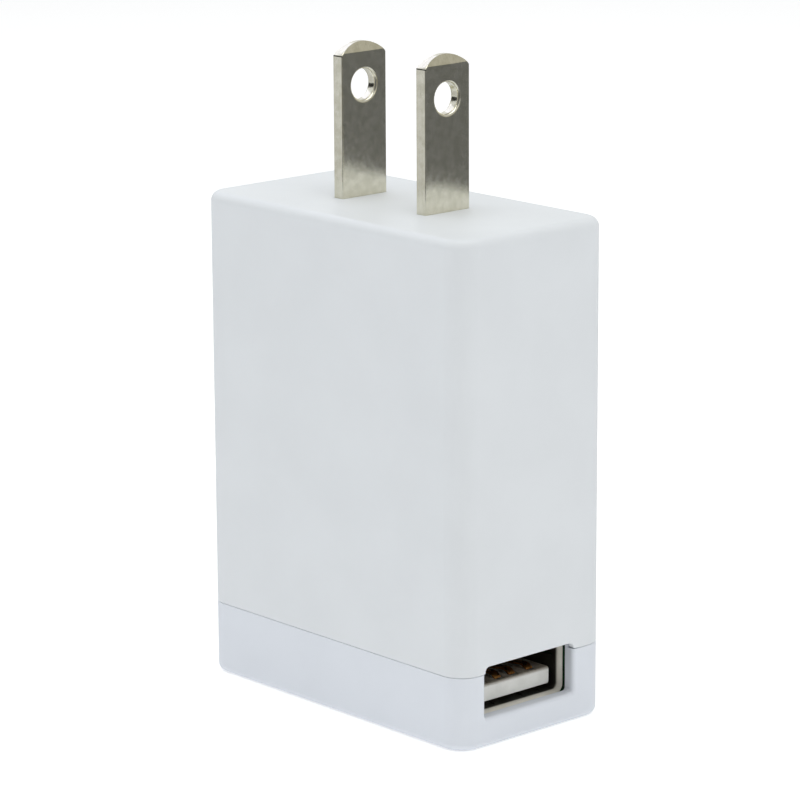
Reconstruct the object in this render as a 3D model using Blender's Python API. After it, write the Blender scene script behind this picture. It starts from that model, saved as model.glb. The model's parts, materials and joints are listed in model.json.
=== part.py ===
"""USB wall charger with two flat mains blades, as an assembly of separate sub-parts.

Blender works in metres here, with +Z up. The constants are in millimetres, and MM turns
them into metres where a mesh is made. The origin is at the centre of the base. The blades
point up, the USB socket opens towards +X, and the circuit board stands near the back
wall, on the +Y side.
"""

import math

import bmesh
import bpy
from mathutils import Vector

MM = 0.001

# Case
BODY_X, BODY_Y, BODY_Z = 40.0, 20.8, 52.8
PLAN_RADIUS = 2.6
TOP_ROUND, BASE_ROUND = 1.2, 0.8
WALL, TOP_WALL = 1.6, 2.0
SEAM_Z, SEAM_GAP = 7.85, 0.2
LIP_INSET, LIP_HEIGHT = 0.9, 2.0
FIT, RIB = 0.15, 0.8

# Mains blades
BLADE_SPACING = 12.7
BLADE_WIDTH, BLADE_THICKNESS = 6.1, 1.4
BLADE_LENGTH, BLADE_SHOULDER = 16.2, 14.9
TIP_CHAMFER = 0.4
HOLE_HEIGHT, HOLE_RADIUS = 11.7, 1.7
ROOT_HEAD_WIDTH, ROOT_HEAD_HEIGHT = 8.6, 1.5
ROOT_STEM_WIDTH, ROOT_END_Z = 4.4, 44.8

# Blade retainer
RETAINER_X, RETAINER_Y, RETAINER_THICKNESS = 33.0, 11.0, 2.0
POST_X, POST_RADIUS, POST_HEAD_RADIUS, POST_HEAD_HEIGHT = 13.2, 1.5, 2.4, 0.85

# USB-A socket: inner size of the shell, its middle, and the tongue
PORT_Y, PORT_Z = -0.6, 5.6
SHELL_WIDTH, SHELL_HEIGHT, SHELL_SHEET, SHELL_RADIUS = 12.5, 5.12, 0.3, 0.6
SHELL_MOUTH_X, SHELL_BACK_X = 18.1, 4.4
LEAD_IN_DEPTH, LEAD_IN = 0.45, 0.15
OPENING_SILL_Z, OPENING_TOP_Z, OPENING_RADIUS = 3.14, 8.58, 0.7
RELIEF_DEPTH, RELIEF_MARGIN = 0.3, 0.95
TONGUE_WIDTH, TONGUE_THICKNESS, TONGUE_GAP = 11.1, 1.84, 0.66
TONGUE_TIP_X, BLOCK_FRONT_X, BLOCK_BACK_X = 17.2, 7.7, 4.6
CONTACT_OFFSETS = (-3.5, -1.0, 1.0, 3.5)
CONTACT_WIDTH, CONTACT_SHEET = 0.9, 0.22
CONTACT_HINGE_X, CONTACT_Z = 8.025, 4.965
GROOVE_DEPTH, GROOVE_END_X = 1.0, 16.85
PIN_WIDTH, PIN_FIRST_X, PIN_PITCH = 0.6, 3.6, 1.2

# Circuit board
BOARD_FRONT_Y, BOARD_THICKNESS = 6.1, 1.2
BOARD_HALF_X, BOARD_FOOT_HALF_X = 18.1, 17.2
BOARD_LOW_Z, BOARD_STEP_Z, BOARD_HIGH_Z = 2.4, 10.3, 43.5
STANDOFF, LEAD_END = 0.2, 2.2
LEG_WIDTH, LEG_PLACES = 2.2, ((13.0, 7.8), (7.1, 3.35))

# Transformer, with its own middle as zero
CORE_X, CORE_Y, CORE_HALF_Z, CORE_BACK = 13.5, 6.0, 6.5, 1.9
CORE_SIDE_LEG, CORE_MIDDLE_LEG, CORE_AIR_GAP = 1.75, 2.8, 0.16
TRANSFORMER_RISE = 7.35

INNER_X, INNER_Y = BODY_X / 2 - WALL, BODY_Y / 2 - WALL
CEILING_Z = BODY_Z - TOP_WALL
TONGUE_LOW_Z = PORT_Z - SHELL_HEIGHT / 2 + TONGUE_GAP
TONGUE_TOP_Z = TONGUE_LOW_Z + TONGUE_THICKNESS
HEAD_TOP_Z = CEILING_Z - FIT
HEAD_LOW_Z = HEAD_TOP_Z - ROOT_HEAD_HEIGHT
RETAINER_TOP_Z = HEAD_LOW_Z - FIT
RETAINER_LOW_Z = RETAINER_TOP_Z - RETAINER_THICKNESS


# ---------------------------------------------------------------- shape helpers

def clear_scene():
    for old in list(bpy.data.objects):
        bpy.data.objects.remove(old, do_unlink=True)


def material(name, colour, roughness, metallic=0.0):
    made = bpy.data.materials.get(name)
    if made is None:
        made = bpy.data.materials.new(name)
        made.use_nodes = True
        shader = made.node_tree.nodes["Principled BSDF"]
        shader.inputs["Base Color"].default_value = (*colour, 1.0)
        shader.inputs["Roughness"].default_value = roughness
        shader.inputs["Metallic"].default_value = metallic
    return made


def rectangle(low, high):
    return [(low[0], low[1]), (high[0], low[1]), (high[0], high[1]), (low[0], high[1])]


def rounded_rectangle(length, width, radius, steps=6, middle=(0.0, 0.0)):
    points = []
    for corner, (side_u, side_v) in enumerate(((1, 1), (-1, 1), (-1, -1), (1, -1))):
        centre_u = middle[0] + side_u * (length / 2 - radius)
        centre_v = middle[1] + side_v * (width / 2 - radius)
        for step in range(steps + 1):
            turn = (corner + step / steps) * math.pi / 2
            points.append((centre_u + radius * math.cos(turn), centre_v + radius * math.sin(turn)))
    return points


def circle(radius, steps=24, middle=(0.0, 0.0)):
    turns = [2 * math.pi * step / steps for step in range(steps)]
    return [(middle[0] + radius * math.cos(a), middle[1] + radius * math.sin(a)) for a in turns]


def strip_outline(points, width):
    """The outline of a flat strip of constant width, mitred at each bend of its middle line."""
    line = [Vector(point) for point in points]
    left, right = [], []
    for index, point in enumerate(line):
        before = (point - line[index - 1]).normalized() if index else None
        after = (line[index + 1] - point).normalized() if index + 1 < len(line) else None
        first, second = before or after, after or before
        mean = (first + second).normalized()
        normal = Vector((-mean.y, mean.x))
        reach = width / 2 / max(0.3, normal.dot(Vector((-first.y, first.x))))
        left.append(tuple(point + normal * reach))
        right.append(tuple(point - normal * reach))
    return left + right[::-1]


def in_space(axis, u, v, along):
    """A point of a section: along X a section lies in YZ, along Y in XZ, along Z in XY."""
    return {"X": (along, u, v), "Y": (u, along, v), "Z": (u, v, along)}[axis]


def loft(name, axis, sections):
    """A closed mesh through (position along the axis, outline) sections, capped at both ends."""
    bm = bmesh.new()
    loops = []
    for along, outline in sections:
        loops.append([bm.verts.new(Vector(in_space(axis, u, v, along)) * MM) for u, v in outline])
    for lower, upper in zip(loops, loops[1:]):
        for index in range(len(lower)):
            after = (index + 1) % len(lower)
            bm.faces.new((lower[index], lower[after], upper[after], upper[index]))
    bm.faces.new(loops[0][::-1])
    bm.faces.new(loops[-1])
    bmesh.ops.recalc_face_normals(bm, faces=bm.faces)
    mesh = bpy.data.meshes.new(name)
    bm.to_mesh(mesh)
    bm.free()
    mesh.shade_smooth()
    mesh.set_sharp_from_angle(angle=math.radians(30))
    return mesh


def prism(name, axis, outline, low, high):
    return loft(name, axis, [(low, outline), (high, outline)])


def box(name, low, high):
    return prism(name, "Z", rectangle(low, high), low[2], high[2])


def turned(name, axis, profile, middle=(0.0, 0.0), steps=24):
    """A round piece from (radius, position along the axis) points, in order along the axis."""
    return loft(name, axis, [(along, circle(radius, steps, middle)) for radius, along in profile])


def add_piece(name, mesh, finish, parent, location=(0.0, 0.0, 0.0)):
    piece = bpy.data.objects.new(name, mesh)
    bpy.context.scene.collection.objects.link(piece)
    mesh.materials.append(finish)
    piece.parent = parent
    piece.location = Vector(location) * MM
    return piece


def combine(piece, operation, mesh):
    """Joins or cuts the mesh, given in the piece's own space, by a Boolean modifier."""
    helper = bpy.data.objects.new(mesh.name, mesh)
    bpy.context.scene.collection.objects.link(helper)
    helper.parent = piece
    helper.hide_render = True
    helper.display_type = "WIRE"
    modifier = piece.modifiers.new(mesh.name, "BOOLEAN")
    modifier.operation = operation
    modifier.object = helper


def even_shading(piece):
    """Large flat faces set the shading beside the cuts and joints that the Booleans leave."""
    modifier = piece.modifiers.new("even_shading", "WEIGHTED_NORMAL")
    modifier.mode = "FACE_AREA_WITH_ANGLE"
    modifier.keep_sharp = True


def cut(piece, *meshes):
    for mesh in meshes:
        combine(piece, "DIFFERENCE", mesh)


def join(piece, *meshes):
    for mesh in meshes:
        combine(piece, "UNION", mesh)


# ---------------------------------------------------------------- case

def plan(inset):
    """The case's outline seen from above, drawn in by a wall or a fillet."""
    return rounded_rectangle(BODY_X - 2 * inset, BODY_Y - 2 * inset, PLAN_RADIUS - inset)


def rounded_end(face_z, radius, side, steps=5):
    """Sections of the fillet between the side walls and an end face; side is 1 for the top."""
    turns = [math.pi / 2 * step / steps for step in range(steps + 1)]
    return [
        (face_z - side * radius * (1 - math.sin(a)), plan(radius * (1 - math.cos(a))))
        for a in turns
    ]


def opening_outline(low_z, high_z, top_radius, low_radius):
    """The socket's opening in YZ, with its own radius on the upper and the lower corners."""
    half = SHELL_WIDTH / 2
    points = []
    upper, lower = (high_z, top_radius), (low_z, low_radius)
    corners = ((1, *upper), (-1, *upper), (-1, *lower), (1, *lower))
    for corner, (side, edge_z, radius) in enumerate(corners):
        centre_y = PORT_Y + side * (half - radius)
        centre_z = edge_z - radius if corner < 2 else edge_z + radius
        for step in range(5):
            turn = (corner + step / 4) * math.pi / 2
            points.append((centre_y + radius * math.cos(turn), centre_z + radius * math.sin(turn)))
    return points


def make_housing(parent, finish):
    low_z = SEAM_Z + SEAM_GAP / 2
    outer = [(low_z, plan(0.0))] + rounded_end(BODY_Z, TOP_ROUND, 1)
    housing = add_piece("housing", loft("housing", "Z", outer), finish, parent)
    cut(housing, prism("housing_cavity", "Z", plan(WALL), 0.0, CEILING_Z))
    relief_top = SEAM_Z + LIP_HEIGHT + FIT
    cut(housing, prism("housing_rebate", "Z", plan(LIP_INSET - FIT), 0.0, relief_top))
    notch = opening_outline(SEAM_Z - 3.0, OPENING_TOP_Z, OPENING_RADIUS, OPENING_RADIUS)
    cut(housing, prism("housing_notch", "X", notch, INNER_X - 1.0, BODY_X / 2 + 1.0))
    half_y = BLADE_WIDTH / 2 + FIT
    half_x = BLADE_THICKNESS / 2 + FIT
    for side in (-1, 1):
        x = side * BLADE_SPACING / 2
        slot = rectangle((x - half_x, -half_y), (x + half_x, half_y))
        cut(housing, prism("blade_slot", "Z", slot, CEILING_Z - 1.0, BODY_Z + 1.0))
        post = [
            (POST_HEAD_RADIUS * 0.7, RETAINER_LOW_Z - FIT - POST_HEAD_HEIGHT),
            (POST_HEAD_RADIUS, RETAINER_LOW_Z - FIT - POST_HEAD_HEIGHT / 2),
            (POST_HEAD_RADIUS, RETAINER_LOW_Z - FIT),
            (POST_RADIUS, RETAINER_LOW_Z - FIT),
            (POST_RADIUS, CEILING_Z + 0.5),
        ]
        join(housing, turned("retainer_post", "Z", post, (side * POST_X, 0.0), 20))
        rib_ends = sorted((side * (INNER_X + 0.4), side * (BOARD_FOOT_HALF_X - 0.2)))
        for near_y in (BOARD_FRONT_Y - FIT - RIB, BOARD_FRONT_Y + BOARD_THICKNESS + FIT):
            low = (rib_ends[0], near_y, BOARD_STEP_Z + 0.1)
            high = (rib_ends[1], near_y + RIB, BOARD_HIGH_Z - 0.5)
            join(housing, box("board_rib", low, high))
    return housing


def make_end_cap(parent, finish):
    high_z = SEAM_Z - SEAM_GAP / 2
    outer = rounded_end(0.0, BASE_ROUND, -1)[::-1] + [(high_z, plan(0.0))]
    cap = add_piece("end_cap", loft("end_cap", "Z", outer), finish, parent)
    join(cap, prism("cap_lip", "Z", plan(LIP_INSET), high_z - 1.0, SEAM_Z + LIP_HEIGHT))
    cut(cap, prism("cap_cavity", "Z", plan(WALL), WALL, BODY_Z))
    opening = opening_outline(OPENING_SILL_Z, BODY_Z / 2, OPENING_RADIUS, 0.35)
    cut(cap, prism("cap_opening", "X", opening, INNER_X - 1.0, BODY_X / 2 + 1.0))
    half_relief = SHELL_WIDTH / 2 + RELIEF_MARGIN
    relief_low = (INNER_X - 1.0, PORT_Y - half_relief, OPENING_SILL_Z - RELIEF_MARGIN)
    relief_high = (INNER_X + RELIEF_DEPTH, PORT_Y + half_relief, BODY_Z / 2)
    cut(cap, box("socket_relief", relief_low, relief_high))
    floor, rib_top = WALL - 0.2, BOARD_LOW_Z + 1.4
    front_y = BOARD_FRONT_Y - FIT - RIB
    rear_y = BOARD_FRONT_Y + BOARD_THICKNESS + FIT
    for low_x, high_x, near_y in ((-14.0, -9.0, front_y), (-14.0, -9.0, rear_y), (9.5, 13.5, rear_y)):
        join(cap, box("foot_rib", (low_x, near_y, floor), (high_x, near_y + RIB, rib_top)))
    rest_z = PORT_Z - SHELL_HEIGHT / 2 - SHELL_SHEET - FIT
    for x in (6.0, 15.0):
        join(cap, box("socket_rest", (x - 0.6, -6.0, floor), (x + 0.6, 4.0, rest_z)))
    return cap


# ---------------------------------------------------------------- blades and their fixing

def blade_outline():
    """A blade's side view in YZ: soldering stem, retained head, shank and crowned tip."""
    half = BLADE_WIDTH / 2
    shoulder_z = BODY_Z + BLADE_SHOULDER
    rise = BLADE_LENGTH - BLADE_SHOULDER
    crown_radius = (half**2 + rise**2) / (2 * rise)
    crown_z = BODY_Z + BLADE_LENGTH - crown_radius
    reach = math.asin(half / crown_radius)
    right = [
        (ROOT_STEM_WIDTH / 2, ROOT_END_Z),
        (ROOT_STEM_WIDTH / 2, HEAD_LOW_Z),
        (ROOT_HEAD_WIDTH / 2, HEAD_LOW_Z),
        (ROOT_HEAD_WIDTH / 2, HEAD_TOP_Z),
        (half, HEAD_TOP_Z),
    ]
    crown = []
    for step in range(13):
        turn = reach * (1 - step / 6)
        crown.append((crown_radius * math.sin(turn), crown_z + crown_radius * math.cos(turn)))
    assert abs(crown[0][1] - shoulder_z) < 1e-6
    return right + crown + [(-y, z) for y, z in right[::-1]]


def make_blade(name, side, parent, finish):
    half = BLADE_THICKNESS / 2
    shoulder_z, tip_z = BODY_Z + BLADE_SHOULDER, BODY_Z + BLADE_LENGTH
    body = prism(name, "X", blade_outline(), -half, half)
    blade = add_piece(name, body, finish, parent, (side * BLADE_SPACING / 2, 0.0, 0.0))
    hole = circle(HOLE_RADIUS, 32, (0.0, BODY_Z + HOLE_HEIGHT))
    cut(blade, prism("blade_hole", "X", hole, -half - 1.0, half + 1.0))
    slope = TIP_CHAMFER / (tip_z - shoulder_z)
    above = tip_z + 1.0
    for face in (-1, 1):
        wedge = [
            (face * half, shoulder_z),
            (face * (half + 1.0), shoulder_z),
            (face * (half + 1.0), above),
            (face * (half - slope * (above - shoulder_z)), above),
        ]
        cut(blade, prism("tip_chamfer", "Y", wedge, -BLADE_WIDTH, BLADE_WIDTH))


def make_retainer(parent, finish):
    outline = rounded_rectangle(RETAINER_X, RETAINER_Y, 1.5)
    plate = prism("blade_retainer", "Z", outline, RETAINER_LOW_Z, RETAINER_TOP_Z)
    retainer = add_piece("blade_retainer", plate, finish, parent)
    barrier = box("barrier", (-0.8, -5.0, RETAINER_LOW_Z - 3.0), (0.8, 5.0, RETAINER_TOP_Z - 0.5))
    join(retainer, barrier)
    low, high = RETAINER_LOW_Z - 1.0, RETAINER_TOP_Z + 1.0
    half_x, half_y = BLADE_THICKNESS / 2 + FIT, ROOT_STEM_WIDTH / 2 + FIT
    for side in (-1, 1):
        x = side * BLADE_SPACING / 2
        slot = rectangle((x - half_x, -half_y), (x + half_x, half_y))
        cut(retainer, prism("stem_slot", "Z", slot, low, high))
        hole = circle(POST_RADIUS + FIT, 20, (side * POST_X, 0.0))
        cut(retainer, prism("post_hole", "Z", hole, low, high))


def make_lead(name, side, parent, finish):
    """An insulated wire from the end of a blade's stem, down and over to the board."""
    x = side * BLADE_SPACING / 2
    ends = [
        Vector((x, 0.0, ROOT_END_Z - FIT)),
        Vector((x, -0.4, 41.4)),
        Vector((x + side * 0.8, 1.4, 40.6)),
        Vector((x + side * 0.4, BOARD_FRONT_Y - STANDOFF, 41.0)),
    ]
    curve = bpy.data.curves.new(name, "CURVE")
    curve.dimensions = "3D"
    curve.bevel_depth = 0.65 * MM
    curve.bevel_resolution = 2
    curve.use_fill_caps = True
    spline = curve.splines.new("POLY")
    count = 12
    spline.points.add(count - 1)
    for index in range(count):
        t = index / (count - 1)
        place = (
            ends[0] * (1 - t) ** 3
            + ends[1] * 3 * t * (1 - t) ** 2
            + ends[2] * 3 * t**2 * (1 - t)
            + ends[3] * t**3
        )
        spline.points[index].co = (*(place * MM), 1.0)
    lead = bpy.data.objects.new(name, curve)
    bpy.context.scene.collection.objects.link(lead)
    curve.materials.append(finish)
    lead.parent = parent


# ---------------------------------------------------------------- USB socket

def finger_slot(axis, middle, wall, width=2.2, length=4.6, gap=0.35):
    """The U-shaped slot that frees a spring finger of the shell; the finger's root is near the mouth."""
    front = SHELL_MOUTH_X - 1.2
    back = front - length
    inner, outer = width / 2, width / 2 + gap
    outline = [
        (front, middle - outer),
        (front, middle - inner),
        (back, middle - inner),
        (back, middle + inner),
        (front, middle + inner),
        (front, middle + outer),
        (back - gap, middle + outer),
        (back - gap, middle - outer),
    ]
    return prism("finger_slot", axis, outline, wall - 0.5, wall + 0.5)


def make_shell(parent, finish):
    def section(growth):
        width, height = SHELL_WIDTH + 2 * growth, SHELL_HEIGHT + 2 * growth
        return rounded_rectangle(width, height, SHELL_RADIUS + growth, 5, (PORT_Y, PORT_Z))

    tube = prism("usb_shell", "X", section(SHELL_SHEET), SHELL_BACK_X, SHELL_MOUTH_X)
    shell = add_piece("usb_shell", tube, finish, parent)
    # The bore widens a little over its last part, as a lead-in for the plug.
    bore = [
        (SHELL_BACK_X - 1.0, section(0.0)),
        (SHELL_MOUTH_X - LEAD_IN_DEPTH, section(0.0)),
        (SHELL_MOUTH_X + LEAD_IN_DEPTH, section(2 * LEAD_IN)),
    ]
    cut(shell, loft("shell_bore", "X", bore))
    half_width = SHELL_WIDTH / 2 + SHELL_SHEET / 2
    half_height = SHELL_HEIGHT / 2 + SHELL_SHEET / 2
    for side in (-1, 1):
        for offset in (-3.2, 3.2):
            cut(shell, finger_slot("Z", PORT_Y + offset, PORT_Z + side * half_height))
        cut(shell, finger_slot("Y", PORT_Z, PORT_Y + side * half_width, width=1.8))
    leg_start = PORT_Y + half_width
    for x, z in LEG_PLACES:
        low = (x - LEG_WIDTH / 2, leg_start, z - SHELL_SHEET / 2)
        high = (x + LEG_WIDTH / 2, BOARD_FRONT_Y + LEAD_END, z + SHELL_SHEET / 2)
        join(shell, box("shell_leg", low, high))


def make_insulator(parent, finish):
    width, height = SHELL_WIDTH - 2 * FIT, SHELL_HEIGHT - 2 * FIT
    outline = rounded_rectangle(width, height, SHELL_RADIUS, 4, (PORT_Y, PORT_Z))
    block = prism("usb_insulator", "X", outline, BLOCK_BACK_X, BLOCK_FRONT_X)
    insulator = add_piece("usb_insulator", block, finish, parent)
    half = TONGUE_WIDTH / 2
    bevel = 0.5
    tongue = [
        (BLOCK_FRONT_X - 0.5, PORT_Y - half),
        (TONGUE_TIP_X - bevel, PORT_Y - half),
        (TONGUE_TIP_X, PORT_Y - half + bevel),
        (TONGUE_TIP_X, PORT_Y + half - bevel),
        (TONGUE_TIP_X - bevel, PORT_Y + half),
        (BLOCK_FRONT_X - 0.5, PORT_Y + half),
    ]
    join(insulator, prism("tongue", "Z", tongue, TONGUE_LOW_Z, TONGUE_TOP_Z))
    groove_half = CONTACT_WIDTH / 2 + FIT
    for offset in CONTACT_OFFSETS:
        y = PORT_Y + offset
        groove_low = (BLOCK_FRONT_X, y - groove_half, TONGUE_TOP_Z - GROOVE_DEPTH)
        cut(insulator, box("groove", groove_low, (GROOVE_END_X, y + groove_half, PORT_Z + 1.0)))
        reach_y, reach_z = PIN_WIDTH / 2 + FIT, CONTACT_SHEET / 2 + FIT
        tunnel_low = (BLOCK_BACK_X - 1.0, y - reach_y, CONTACT_Z - reach_z)
        tunnel_high = (BLOCK_FRONT_X + 0.1, y + reach_y, CONTACT_Z + reach_z)
        cut(insulator, box("tunnel", tunnel_low, tunnel_high))


def pin_x(index):
    """Where a contact's pin meets the board: the contact furthest from it passes behind the others."""
    return PIN_FIRST_X - PIN_PITCH * (len(CONTACT_OFFSETS) - 1 - index)


def make_contact(index, parent, finish):
    y = PORT_Y + CONTACT_OFFSETS[index]
    route = [(CONTACT_HINGE_X - FIT / 2, y), (pin_x(index), y), (pin_x(index), BOARD_FRONT_Y + LEAD_END)]
    half = CONTACT_SHEET / 2
    tail_name = f"contact_tail_{index + 1}"
    tail = prism(tail_name, "Z", strip_outline(route, PIN_WIDTH), CONTACT_Z - half, CONTACT_Z + half)
    add_piece(tail_name, tail, finish, parent)
    # The free beam, from its hinge at (0, 0) to the crown and the tucked-in tip, in XZ.
    beam = [(FIT / 2, 0.0), (6.0, 0.72), (6.8, 0.88), (7.5, 0.92), (8.0, 0.8), (8.5, 0.4)]
    half = CONTACT_WIDTH / 2
    spring_name = f"contact_spring_{index + 1}"
    spring = prism(spring_name, "Y", strip_outline(beam, CONTACT_SHEET), -half, half)
    add_piece(spring_name, spring, finish, parent, (CONTACT_HINGE_X, y, CONTACT_Z))


# ---------------------------------------------------------------- circuit board

# Component places on the board (X, Z), and where their leads pass through it.
FUSE_PLACE, CHOKE_PLACE = (-12.2, 39.0), (13.0, 38.6)
BRIDGE_PLACE, CONTROLLER_PLACE = (0.0, 38.8), (0.0, 33.4)
INPUT_CAPACITOR_PLACES = ((-12.8, 31.6), (12.8, 30.4))
TRANSFORMER_PLACE = (0.0, 23.6)
Y_CAPACITOR_PLACE, OPTOCOUPLER_PLACE = (-12.5, 21.6), (12.5, 20.6)
OUTPUT_CAPACITOR_PLACE, DIODE_PLACE, LOAD_PLACE = (-12.8, 12.6), (-1.5, 12.6), (11.5, 12.8)
CAN_LEAD, CHOKE_LEAD, Y_CAPACITOR_LEAD = 1.75, 2.0, 2.5
FUSE_LEAD, DIODE_LEAD, LOAD_LEAD = 4.4, 4.4, 3.4


def along_x(place, reach):
    return [(place[0] - reach, place[1]), (place[0] + reach, place[1])]


def along_z(place, reach):
    return [(place[0], place[1] - reach), (place[0], place[1] + reach)]


def transformer_pins():
    x, z = TRANSFORMER_PLACE
    return [(x + dx, z + dz) for dz in (-5.6, 5.6) for dx in (-5.0, -1.7, 1.7, 5.0)]


def lead_places():
    """Every round lead that passes through the board."""
    places = along_x(FUSE_PLACE, FUSE_LEAD) + along_x(CHOKE_PLACE, CHOKE_LEAD)
    for place in (*INPUT_CAPACITOR_PLACES, OUTPUT_CAPACITOR_PLACE):
        places += along_x(place, CAN_LEAD)
    places += along_z(Y_CAPACITOR_PLACE, Y_CAPACITOR_LEAD)
    places += along_x(DIODE_PLACE, DIODE_LEAD) + along_x(LOAD_PLACE, LOAD_LEAD)
    return places + transformer_pins()


def make_board(parent, finish):
    """The board, with its origin on its component side; its components are its children."""
    outline = [
        (-BOARD_FOOT_HALF_X, BOARD_LOW_Z),
        (BOARD_FOOT_HALF_X, BOARD_LOW_Z),
        (BOARD_FOOT_HALF_X, BOARD_STEP_Z),
        (BOARD_HALF_X, BOARD_STEP_Z),
        (BOARD_HALF_X, BOARD_HIGH_Z),
        (-BOARD_HALF_X, BOARD_HIGH_Z),
        (-BOARD_HALF_X, BOARD_STEP_Z),
        (-BOARD_FOOT_HALF_X, BOARD_STEP_Z),
    ]
    plate = prism("main_board", "Y", outline, 0.0, BOARD_THICKNESS)
    board = add_piece("main_board", plate, finish, parent, (0.0, BOARD_FRONT_Y, 0.0))
    through = (-1.0, BOARD_THICKNESS + 1.0)
    for place in lead_places():
        cut(board, prism("lead_hole", "Y", circle(0.52, 8, place), *through))
    for index in range(len(CONTACT_OFFSETS)):
        cut(board, prism("pin_hole", "Y", circle(0.5, 8, (pin_x(index), CONTACT_Z)), *through))
    for x, z in LEG_PLACES:
        half_x, half_z = LEG_WIDTH / 2 + FIT, SHELL_SHEET / 2 + FIT
        slot = rectangle((x - half_x, z - half_z), (x + half_x, z + half_z))
        cut(board, prism("leg_slot", "Y", slot, *through))
    x, z = OPTOCOUPLER_PLACE
    isolation = rounded_rectangle(9.0, 1.0, 0.49, 4, (x, z))
    cut(board, prism("isolation_slot", "Y", isolation, *through))
    return board


def add_leads(piece, places):
    """Round leads, joined to a component that hangs on the board by them, through to the solder side."""
    x, z = piece.location.x / MM, piece.location.z / MM
    for place in places:
        middle = (place[0] - x, place[1] - z)
        profile = [(0.28, -1.2), (0.28, LEAD_END)]
        join(piece, turned("lead", "Y", profile, middle, 8))


def on_board(name, mesh, finish, board, place):
    return add_piece(name, mesh, finish, board, (place[0], 0.0, place[1]))


def make_can(name, board, finish, place, radius, height, lead_reach):
    """An upright electrolytic capacitor with its rolled groove near the base."""
    base = -STANDOFF - 0.15
    profile = [
        (radius - 0.5, base - height),
        (radius, base - height + 0.5),
        (radius, base - 2.4),
        (radius - 0.35, base - 1.9),
        (radius, base - 1.4),
        (radius, base - 0.3),
        (radius - 0.3, base),
    ]
    can = on_board(name, turned(name, "Y", profile), finish, board, place)
    add_leads(can, along_x(place, lead_reach))


def make_axial(name, board, finish, place, radius, length, lead_reach):
    """A resistor or diode that lies along X, with both leads bent down into the board."""
    rise = -STANDOFF - radius
    half = length / 2
    profile = [
        (radius - 0.25, -half),
        (radius, -half + 0.3),
        (radius, half - 0.3),
        (radius - 0.25, half),
    ]
    body = turned(name, "X", profile, (rise, 0.0), 16)
    piece = on_board(name, body, finish, board, place)
    for side in (-1, 1):
        bend_x = side * lead_reach
        route = [(side * (half - 0.3), rise), (bend_x, rise), (bend_x, LEAD_END)]
        join(piece, prism("bent_lead", "Z", strip_outline(route, 0.5), -0.25, 0.25))


def make_block(name, board, finish, place, size, leg_rows=0, leg_reach=0.0):
    """A moulded package on the board, with gull legs along both its X edges when it has rows."""
    half_x, half_z = size[0] / 2, size[2] / 2
    outline = rounded_rectangle(size[0], size[2], 0.3, 2)
    body = prism(name, "Y", outline, -STANDOFF - size[1], -STANDOFF - 0.1)
    piece = on_board(name, body, finish, board, place)
    for row in range(leg_rows):
        z = (row - (leg_rows - 1) / 2) * (2 * half_z - 1.2) / max(1, leg_rows - 1)
        for side in (-1, 1):
            route = [
                (side * (half_x - 0.3), -STANDOFF - size[1] / 2),
                (side * (half_x + 0.35), -STANDOFF - size[1] / 2),
                (side * (half_x + 0.35), -STANDOFF + 0.03),
                (side * (half_x + leg_reach), -STANDOFF + 0.03),
            ]
            join(piece, prism("gull_leg", "Z", strip_outline(route, 0.2), z - 0.2, z + 0.2))


def make_y_capacitor(board, finish):
    profile = [(2.6, -1.75), (3.5, -1.1), (3.5, 1.1), (2.6, 1.75)]
    body = turned("y_capacitor", "X", profile, (-4.4, 0.0), 20)
    disc = on_board("y_capacitor", body, finish, board, Y_CAPACITOR_PLACE)
    for offset in (-Y_CAPACITOR_LEAD, Y_CAPACITOR_LEAD):
        join(disc, turned("lead", "Y", [(0.28, -4.4), (0.28, LEAD_END)], (0.0, offset), 8))


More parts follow.
